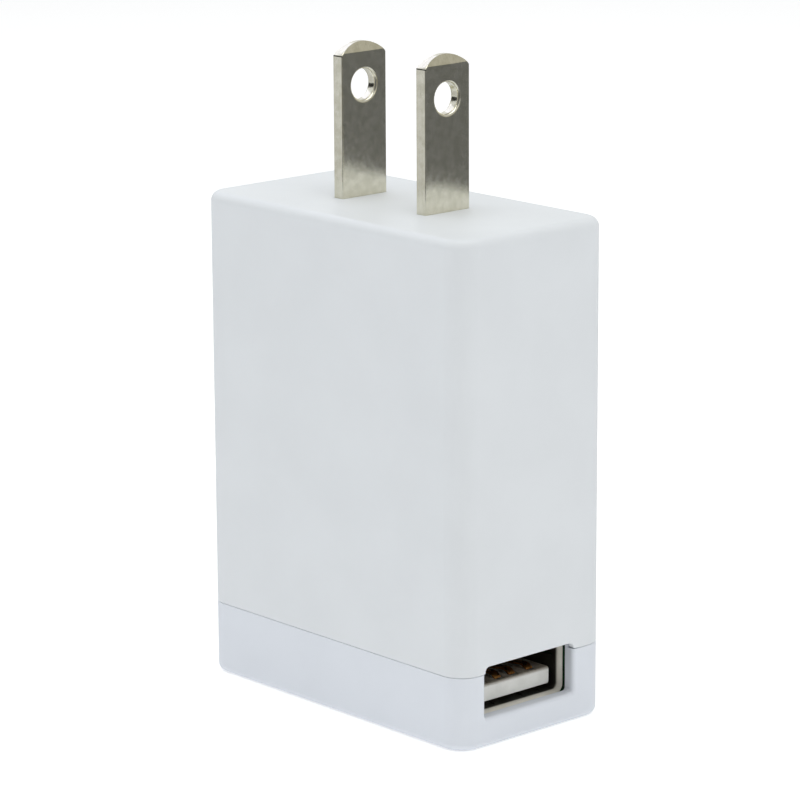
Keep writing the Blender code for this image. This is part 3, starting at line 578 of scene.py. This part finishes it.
def contact_line(low, high):
    """The middle line in XZ of a contact's free beam: a straight rise, a round crown, a tucked tip."""
    half = CONTACT_SHEET / 2
    start = Vector((low.x, low.z + half))
    radius = CROWN_RADIUS
    crown = Vector((high.x - CROWN_BACK, high.z - half - radius))
    reach = (crown - start).length
    lean = math.atan2(crown.y - start.y, crown.x - start.x) + math.asin(radius / reach)
    rise = Vector((math.cos(lean), math.sin(lean)))
    line = [tuple(start + rise * reach * t * 0.98) for t in (0.0, 0.3, 0.6, 0.9)]
    first, last = lean + math.pi / 2, math.radians(TIP_TURN)
    for step in range(15):
        turn = first + (last - first) * step / 14
        line.append((crown.x + radius * math.cos(turn), crown.y + radius * math.sin(turn)))
    return line


def make_contact(index, finish):
    node = f"contact_spring_{index}"
    low, high = corners(node)
    outline = strip_outline(contact_line(low, high), CONTACT_SHEET)
    beam = rounded_prism("beam", "Y", outline, low.y, high.y, CONTACT_EDGE)
    contact = placed(f"socket_contact_{index}", beam)
    smooth(beam, 50.0)
    even_shading(contact)
    stand_in_for(contact, node, f"contact_{index}", finish)


# ---------------------------------------------------------------- materials

class Finish:
    """A Principled material whose colour, roughness and bump come from procedural nodes."""

    def __init__(self, name, metallic=0.0):
        self.material = bpy.data.materials.new(name)
        self.material.use_nodes = True
        self.tree = self.material.node_tree
        self.shader = self.tree.nodes["Principled BSDF"]
        self.shader.inputs["Metallic"].default_value = metallic
        self.coordinates = self.tree.nodes.new("ShaderNodeTexCoord").outputs["Object"]

    def link(self, output, socket):
        self.tree.links.new(output, socket)

    def stretched(self, scale):
        mapping = self.tree.nodes.new("ShaderNodeMapping")
        mapping.inputs["Scale"].default_value = scale
        self.link(self.coordinates, mapping.inputs["Vector"])
        return mapping.outputs["Vector"]

    def noise(self, size, detail=3.0, stretch=None):
        """Noise with features of about this size in millimetres."""
        node = self.tree.nodes.new("ShaderNodeTexNoise")
        node.inputs["Scale"].default_value = 1.0 / (size * MM)
        node.inputs["Detail"].default_value = detail
        self.link(self.stretched(stretch) if stretch else self.coordinates, node.inputs["Vector"])
        return node.outputs["Fac"]

    def ramp(self, value, *stops):
        """Colours, or greys given as one number, at places from 0 to 1."""
        node = self.tree.nodes.new("ShaderNodeValToRGB")
        elements = node.color_ramp.elements
        while len(elements) < len(stops):
            elements.new(0.5)
        for element, (place, colour) in zip(elements, stops):
            element.position = place
            element.color = (*colour, 1.0) if isinstance(colour, tuple) else (colour, colour, colour, 1.0)
        self.link(value, node.inputs["Fac"])
        return node.outputs["Color"]

    def mix(self, factor, first, second, kind="MIX"):
        node = self.tree.nodes.new("ShaderNodeMix")
        node.data_type = "RGBA"
        node.blend_type = kind
        if isinstance(factor, float):
            node.inputs["Factor"].default_value = factor
        else:
            self.link(factor, node.inputs["Factor"])
        self.link(first, node.inputs[6])
        self.link(second, node.inputs[7])
        return node.outputs[2]

    def from_place(self, axis, low, high):
        """A value that rises from 0 to 1 between two places along an axis of the piece."""
        split = self.tree.nodes.new("ShaderNodeSeparateXYZ")
        self.link(self.coordinates, split.inputs["Vector"])
        node = self.tree.nodes.new("ShaderNodeMapRange")
        node.inputs["From Min"].default_value = low
        node.inputs["From Max"].default_value = high
        self.link(split.outputs[axis], node.inputs["Value"])
        return node.outputs["Result"]

    def math(self, operation, first, second):
        node = self.tree.nodes.new("ShaderNodeMath")
        node.operation = operation
        self.link(first, node.inputs[0])
        self.link(second, node.inputs[1])
        return node.outputs["Value"]

    def colour(self, value):
        self.link(value, self.shader.inputs["Base Color"])

    def roughness(self, value):
        self.link(value, self.shader.inputs["Roughness"])

    def bump(self, *layers):
        """Height layers as (value, height in millimetres)."""
        normal = None
        for value, height in layers:
            node = self.tree.nodes.new("ShaderNodeBump")
            node.inputs["Strength"].default_value = 1.0
            node.inputs["Distance"].default_value = height * MM
            self.link(value, node.inputs["Height"])
            if normal is not None:
                self.link(normal, node.inputs["Normal"])
            normal = node.outputs["Normal"]
        self.link(normal, self.shader.inputs["Normal"])


def case_finish(name, tint):
    """Satin white moulding with a fine spark-eroded grain and faint handling marks."""
    finish = Finish(name)
    darker = tuple(channel * 0.975 for channel in tint)
    finish.colour(finish.ramp(finish.noise(9.0, 4.0), (0.35, darker), (0.65, tint)))
    smudges = finish.ramp(finish.noise(5.0, 5.0), (0.3, 0.42), (0.7, 0.52))
    finish.roughness(smudges)
    finish.bump((finish.noise(0.16, 2.0), 0.0035), (finish.noise(12.0, 1.0), 0.03))
    finish.shader.inputs["IOR"].default_value = 1.4
    return finish.material


def nickel_finish():
    """Polished nickel plate on stamped brass, drawn along the blade and mottled, with painted shade as a
    dark line at its shoulders.
    """
    finish = Finish("blade_nickel_plate", 1.0)
    clean, dark_tone = (0.86, 0.825, 0.70), (0.76, 0.73, 0.60)
    mottle = finish.ramp(finish.noise(0.9, 6.0), (0.38, dark_tone), (0.62, clean))
    drawn = finish.noise(0.12, 3.0, (1.0, 1.0, 0.08))
    lines = finish.ramp(drawn, (0.3, (0.93, 0.93, 0.92)), (0.7, (1.0, 1.0, 1.0)))
    plate = finish.mix(1.0, mottle, lines, "MULTIPLY")
    specks = finish.ramp(finish.noise(0.35, 2.0), (0.74, 0.0), (0.78, 0.5))
    bright = finish.ramp(drawn, (0.0, (0.9, 0.92, 0.92)), (1.0, (1.0, 1.0, 1.0)))
    plate = finish.mix(specks, plate, bright)
    # Painted shade: a dark line along the shoulder beside the crown, where a small step would lie in
    # shade.
    painted_shoulder_shade = finish.ramp(finish.noise(0.5, 3.0), (0.3, (0.02, 0.02, 0.018)), (0.7, (0.06, 0.055, 0.05)))
    shoulder = (TOP_Z + SHOULDER_RISE) * MM
    rising = finish.from_place("Z", shoulder - 0.16 * MM, shoulder - 0.12 * MM)
    falling = finish.from_place("Z", shoulder - 0.01 * MM, shoulder - 0.05 * MM)
    side = finish.from_place("Y", -2.9 * MM, -3.0 * MM)
    other = finish.from_place("Y", 2.9 * MM, 3.0 * MM)
    ends = finish.math("MAXIMUM", side, other)
    shoulder_shade_band = finish.math("MULTIPLY", finish.math("MULTIPLY", rising, falling), ends)
    finish.colour(finish.mix(shoulder_shade_band, plate, painted_shoulder_shade))
    finish.roughness(finish.ramp(finish.noise(0.7, 5.0), (0.3, 0.15), (0.7, 0.24)))
    finish.bump((drawn, 0.0012), (finish.noise(0.6, 4.0), 0.004), (finish.noise(3.0, 1.0), 0.012))
    return finish.material


def steel_finish():
    """Plated sheet steel with a painted highlight as a bright band at the mouth, and painted shade making
    it dark deeper in.
    """
    finish = Finish("socket_plated_steel", 1.0)
    # Painted light and shade: a near-white band at the mouth stands in for the lit rim, and a dark colour
    # deeper in stands in for the shade inside the socket.
    plated = finish.ramp(finish.noise(1.5, 4.0), (0.35, (0.90, 0.87, 0.78)), (0.65, (0.95, 0.92, 0.83)))
    dark_tone = finish.ramp(finish.noise(1.5, 4.0), (0.35, (0.13, 0.125, 0.11)), (0.65, (0.17, 0.16, 0.14)))
    lit_mouth_end = (SHELL_HIGH.x - LIT_MOUTH_DEPTH) * MM
    lit_mouth = finish.from_place("X", lit_mouth_end, lit_mouth_end + LIT_MOUTH_FADE * MM)
    finish.colour(finish.mix(lit_mouth, dark_tone, plated))
    # Less metallic at the mouth, so that the painted bright band takes in light like a pale diffuse
    # surface.
    finish.link(finish.ramp(lit_mouth, (0.0, 1.0), (1.0, 0.15)), finish.shader.inputs["Metallic"])
    finish.roughness(finish.ramp(finish.noise(0.5, 4.0), (0.3, 0.42), (0.7, 0.52)))
    finish.bump((finish.noise(0.1, 3.0, (0.1, 1.0, 1.0)), 0.0006))
    return finish.material


def gold_finish():
    """Thin gold flash on the contacts, worn to a brown in places."""
    finish = Finish("contact_gold_flash", 1.0)
    worn, fresh = (0.34, 0.14, 0.045), (0.72, 0.38, 0.11)
    finish.colour(finish.ramp(finish.noise(1.2, 4.0), (0.35, worn), (0.65, fresh)))
    finish.roughness(finish.ramp(finish.noise(0.3, 4.0), (0.3, 0.24), (0.7, 0.38)))
    finish.bump((finish.noise(0.1, 3.0, (0.1, 1.0, 1.0)), 0.0008))
    return finish.material


def moulded_finish(name, colour, rough=0.5, grain=0.2):
    """A plain moulding or coating: a slightly uneven colour, gloss and surface."""
    finish = Finish(name)
    darker = tuple(channel * 0.86 for channel in colour)
    finish.colour(finish.ramp(finish.noise(1.6, 4.0), (0.35, darker), (0.65, colour)))
    finish.roughness(finish.ramp(finish.noise(0.8, 4.0), (0.3, rough - 0.07), (0.7, rough + 0.07)))
    finish.bump((finish.noise(grain, 3.0), 0.006))
    return finish.material


def tongue_finish():
    """Pale moulding, with painted shade and a painted brown reflection of the gold contacts on the side
    that carries them.
    """
    finish = Finish("socket_tongue_white")
    pale = finish.ramp(finish.noise(1.6, 4.0), (0.35, (0.88, 0.88, 0.84)), (0.65, (0.97, 0.97, 0.93)))
    # Painted shade and reflection: the top side is darkened to brown, standing in for the shade in the
    # socket and the gold contacts mirrored there.
    painted_top_shade = finish.ramp(finish.noise(0.9, 4.0), (0.3, (0.30, 0.25, 0.20)), (0.7, (0.52, 0.46, 0.39)))
    rising = finish.from_place("Z", (TONGUE_TOP_Z - 0.3) * MM, (TONGUE_TOP_Z - 0.02) * MM)
    finish.colour(finish.mix(rising, pale, painted_top_shade))
    finish.roughness(finish.ramp(finish.noise(0.8, 4.0), (0.3, 0.38), (0.7, 0.52)))
    finish.bump((finish.noise(0.2, 3.0), 0.006))
    return finish.material


def board_finish():
    """Green solder mask over a glass weave."""
    finish = Finish("board_solder_mask")
    deep, thin = (0.02, 0.12, 0.04), (0.035, 0.19, 0.06)
    finish.colour(finish.ramp(finish.noise(1.2, 3.0), (0.35, deep), (0.65, thin)))
    finish.roughness(finish.ramp(finish.noise(1.0, 3.0), (0.3, 0.28), (0.7, 0.4)))
    weave = finish.tree.nodes.new("ShaderNodeTexWave")
    weave.inputs["Scale"].default_value = 900.0
    finish.link(finish.coordinates, weave.inputs["Vector"])
    finish.bump((weave.outputs["Fac"], 0.004), (finish.noise(0.3, 3.0), 0.004))
    return finish.material


INNER_FINISHES = {
    "retainer_plastic": ((0.60, 0.60, 0.58), 0.5),
    "lead_black": ((0.02, 0.02, 0.02), 0.45),
    "lead_white": ((0.75, 0.75, 0.73), 0.45),
    "core_ferrite": ((0.06, 0.06, 0.065), 0.55),
    "choke_ferrite": ((0.05, 0.05, 0.055), 0.5),
    "bobbin_phenolic": ((0.08, 0.06, 0.05), 0.5),
    "winding_tape": ((0.75, 0.55, 0.08), 0.35),
    "capacitor_sleeve": ((0.03, 0.03, 0.05), 0.35),
    "resistor_coat": ((0.20, 0.32, 0.20), 0.6),
    "film_resistor": ((0.45, 0.35, 0.22), 0.5),
    "package_moulding": ((0.02, 0.02, 0.022), 0.5),
    "disc_ceramic": ((0.07, 0.20, 0.50), 0.35),
    "sheet_paper": ((0.35, 0.33, 0.28), 0.8),
}


def make_inside(board, gold):
    """The sealed pieces keep their CAD shape, with softened edges and their own finishes."""
    finishes = {slot: moulded_finish(f"inner_{slot}", *look) for slot, look in INNER_FINISHES.items()}
    finishes.update({"board_laminate": board, "contact_gold": gold})
    for subpart in frame["record"]["subparts"]:
        node, slot = subpart["node"], subpart["material_slot"]
        if slot not in finishes or node.startswith("contact_spring"):
            continue
        piece = placed(f"inner_{node}", frame["nodes"][node].data.copy())
        bevel = piece.modifiers.new("soft_edges", "BEVEL")
        bevel.width = 0.05 * MM
        bevel.segments = 2
        bevel.limit_method = "ANGLE"
        bevel.angle_limit = math.radians(40.0)
        smooth(piece.data, 35.0)
        even_shading(piece)
        stand_in_for(piece, node, "charger", finishes[slot])


# ---------------------------------------------------------------- surroundings

# Distances and sizes round the set are in metres. The camera's angles, in degrees, are its place
# from -Y round towards +X, its rise above the floor and its lean.
CAMERA_AZIMUTH, CAMERA_RISE, CAMERA_LEAN = 47.888, 13.692, -0.289
CAMERA_DISTANCE, CAMERA_TARGET = 389.776 * MM, Vector((-0.350, 0.0, 31.713)) * MM
CAMERA_LENS, CAMERA_SENSOR = 167.326, 36.0
CAMERA_SIDE = (0.742, -0.67, 0.0)

# Each card's direction from the set, distance, width, lower and upper edge, and glow.
CARDS = {
    "dark_card": ((0.721, 0.652), 0.6, 0.9, -0.66, 0.04, (0.145, 0.15, 0.155)),
    "grey_card": ((0.721, 0.652), 0.6, 0.9, 0.04, 0.34, (0.47, 0.46, 0.40)),
    "horizon_card": ((-0.74, -0.6), 0.6, 0.5, -0.03, 0.2, (0.02, 0.02, 0.02)),
    "bright_card": ((-0.97, 0.12), 0.6, 0.75, 0.2, 0.8, (1.25, 1.28, 1.5)),
    "back_card": ((-0.742, 0.67), 0.62, 0.5, 0.0, 0.34, (0.8, 0.81, 0.8)),
}

# Each lamp's direction from the set, distance, size, power and colour.
LAMPS = {
    "overhead": ((0.12, -0.1, 1.0), 0.6, 0.7, 2.4, (1.0, 1.0, 0.96)),
    "left_softbox": ((-1.1, -0.8, 0.4), 0.7, 0.6, 0.2, (0.88, 0.95, 1.0)),
    "front_softbox": ((1.0, -0.05, 0.38), 0.7, 0.5, 0.31, (1.0, 1.0, 0.97)),
}


def make_floor():
    bm = bmesh.new()
    bmesh.ops.create_circle(bm, cap_ends=True, radius=3.0, segments=96)
    mesh = bpy.data.meshes.new("floor")
    bm.to_mesh(mesh)
    bm.free()
    floor = placed("floor", mesh)
    material = bpy.data.materials.new("floor_paper")
    material.use_nodes = True
    shader = material.node_tree.nodes["Principled BSDF"]
    shader.inputs["Base Color"].default_value = (0.9, 0.9, 0.9, 1.0)
    shader.inputs["Roughness"].default_value = 0.9
    shader.inputs["Emission Color"].default_value = (1.0, 1.0, 1.0, 1.0)
    shader.inputs["Emission Strength"].default_value = 0.35
    mesh.materials.append(material)
    floor.visible_glossy = False


def make_card(name, direction, distance, width, low_z, high_z, glow):
    """An upright card round the set, seen only in gloss, so that the metal has something to mirror."""
    half = width / 2
    bm = bmesh.new()
    places = ((-half, 0, low_z), (half, 0, low_z), (half, 0, high_z), (-half, 0, high_z))
    bm.faces.new([bm.verts.new(place) for place in places])
    mesh = bpy.data.meshes.new(name)
    bm.to_mesh(mesh)
    bm.free()
    card = placed(name, mesh)
    away = Vector((*direction, 0.0)).normalized()
    card.location = away * distance + Vector((0.0, 0.0, 0.06))
    card.rotation_euler = away.to_track_quat("Y", "Z").to_euler()
    material = bpy.data.materials.new(name)
    material.use_nodes = True
    shader = material.node_tree.nodes["Principled BSDF"]
    shader.inputs["Base Color"].default_value = (0.0, 0.0, 0.0, 1.0)
    shader.inputs["Specular IOR Level"].default_value = 0.0
    shader.inputs["Emission Color"].default_value = (*glow, 1.0)
    shader.inputs["Emission Strength"].default_value = 1.0
    mesh.materials.append(material)
    card.visible_camera = False
    card.visible_diffuse = False
    card.visible_shadow = False


def area_light(name, direction, distance, size, power, colour):
    light = bpy.data.lights.new(name, "AREA")
    light.shape = "SQUARE"
    light.size = size
    light.energy = power
    light.color = colour
    lamp = bpy.data.objects.new(name, light)
    bpy.context.scene.collection.objects.link(lamp)
    away = Vector(direction).normalized()
    lamp.location = away * distance + Vector((0.0, 0.0, 0.03))
    lamp.rotation_euler = away.to_track_quat("Z", "Y").to_euler()
    lamp.visible_camera = False


def make_world():
    """White to the camera, and as light a soft grey-white that falls off towards the camera's side."""
    world = bpy.data.worlds.new("studio")
    world.use_nodes = True
    bpy.context.scene.world = world
    tree = world.node_tree
    light = tree.nodes["Background"]
    light.inputs["Strength"].default_value = 0.6
    direction = tree.nodes.new("ShaderNodeTexCoord")
    facing = tree.nodes.new("ShaderNodeVectorMath")
    facing.operation = "DOT_PRODUCT"
    facing.inputs[1].default_value = CAMERA_SIDE
    shade = tree.nodes.new("ShaderNodeValToRGB")
    shade.color_ramp.elements[0].position = 0.2
    shade.color_ramp.elements[0].color = (0.97, 0.985, 1.0, 1.0)
    shade.color_ramp.elements[1].position = 0.9
    shade.color_ramp.elements[1].color = (0.22, 0.222, 0.226, 1.0)
    tree.links.new(direction.outputs["Generated"], facing.inputs[0])
    tree.links.new(facing.outputs["Value"], shade.inputs["Fac"])
    tree.links.new(shade.outputs["Color"], light.inputs["Color"])
    backdrop = tree.nodes.new("ShaderNodeBackground")
    backdrop.inputs["Strength"].default_value = 1.1
    backdrop.inputs["Color"].default_value = (1.0, 1.0, 1.0, 1.0)
    path = tree.nodes.new("ShaderNodeLightPath")
    mix = tree.nodes.new("ShaderNodeMixShader")
    tree.links.new(path.outputs["Is Camera Ray"], mix.inputs["Fac"])
    tree.links.new(light.outputs["Background"], mix.inputs[1])
    tree.links.new(backdrop.outputs["Background"], mix.inputs[2])
    tree.links.new(mix.outputs["Shader"], tree.nodes["World Output"].inputs["Surface"])


def make_camera():
    azimuth, elevation = math.radians(CAMERA_AZIMUTH), math.radians(CAMERA_RISE)
    back = Vector((
        math.sin(azimuth) * math.cos(elevation),
        -math.cos(azimuth) * math.cos(elevation),
        math.sin(elevation),
    ))
    data = bpy.data.cameras.new("camera")
    data.lens, data.sensor_width = CAMERA_LENS, CAMERA_SENSOR
    data.clip_start, data.clip_end = 0.01, 20.0
    camera = bpy.data.objects.new("camera", data)
    bpy.context.scene.collection.objects.link(camera)
    camera.location = CAMERA_TARGET + back * CAMERA_DISTANCE
    turn = back.to_track_quat("Z", "Y").to_matrix().to_4x4()
    camera.rotation_euler = (turn @ Matrix.Rotation(math.radians(CAMERA_LEAN), 4, "Z")).to_euler()
    bpy.context.scene.camera = camera


make_camera()
make_housing(case_finish("case_white_upper", (0.784, 0.813, 0.844)))
make_cap(case_finish("case_white_cap", (0.776, 0.811, 0.872)))
nickel = nickel_finish()
for blade_node in BLADES:
    make_blade(blade_node, nickel)
make_shell(steel_finish())
make_insulator(tongue_finish())
gold = gold_finish()
for contact_index in range(1, CONTACT_COUNT + 1):
    make_contact(contact_index, gold)
make_inside(board_finish(), gold)
make_floor()
for card_name, card in CARDS.items():
    make_card(card_name, *card)
make_world()
for lamp_name, lamp in LAMPS.items():
    area_light(lamp_name, *lamp)
bpy.context.scene.view_settings.view_transform = "Standard"
